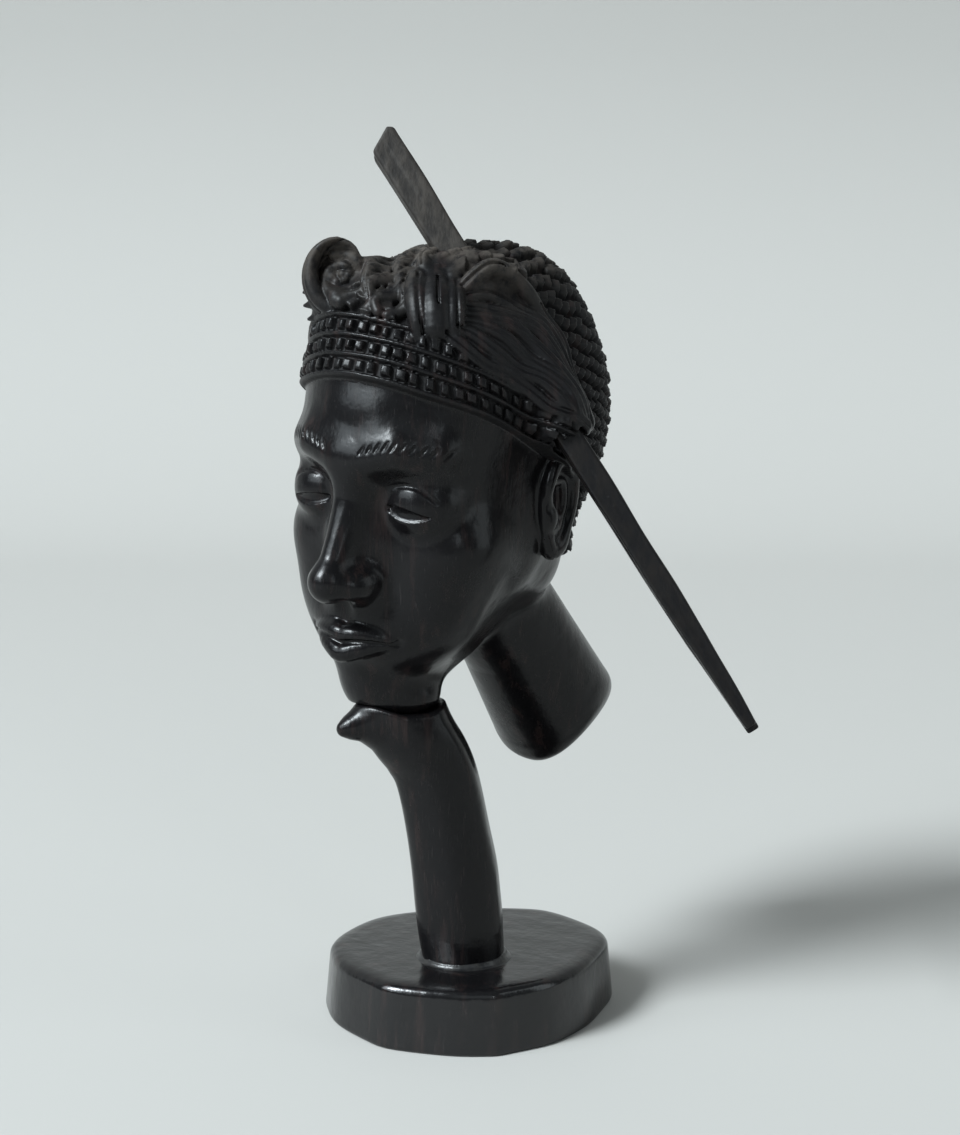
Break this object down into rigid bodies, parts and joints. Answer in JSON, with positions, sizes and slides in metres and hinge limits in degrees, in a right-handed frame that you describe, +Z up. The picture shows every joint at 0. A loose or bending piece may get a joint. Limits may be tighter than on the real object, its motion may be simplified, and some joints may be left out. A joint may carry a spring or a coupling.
{
  "type": "carved head on a curved stand",
  "caption": "Carved blackwood head with a beaded headband and coiled hair, resting by its chin on a curved column over a rounded base, with a long hairpin through the hair.",
  "frame": {"origin": "centre of the base's flat underside, near the foot of the column", "axes": "+Z up, the face looks to -Y, the head's left side is +X"},
  "size_m": [0.1287, 0.1128, 0.2355],
  "materials": {
    "dark_wood": "polished",
    "base_wood": "polished",
    "pin_wood": "matt, weathered",
    "peg_wood": "raw",
    "dried_glue": "semi-gloss"
  },
  "bodies": {
    "stand": {"base": "base_wood", "column": "dark_wood", "glue_bead": "dried_glue", "chin_peg": "peg_wood"},
    "head": {"head": "dark_wood"},
    "hairpin": {"hairpin": "pin_wood"}
  },
  "joints": [
    {"name": "head_lift", "type": "slide", "parent": "stand", "child": "head", "axis": [0, 0, 1], "range_m": [0, 0.03]},
    {"name": "hairpin_pull", "type": "slide", "parent": "head", "child": "hairpin", "axis": [-0.553, -0.123, 0.824], "range_m": [0, 0.145]}
  ]
}
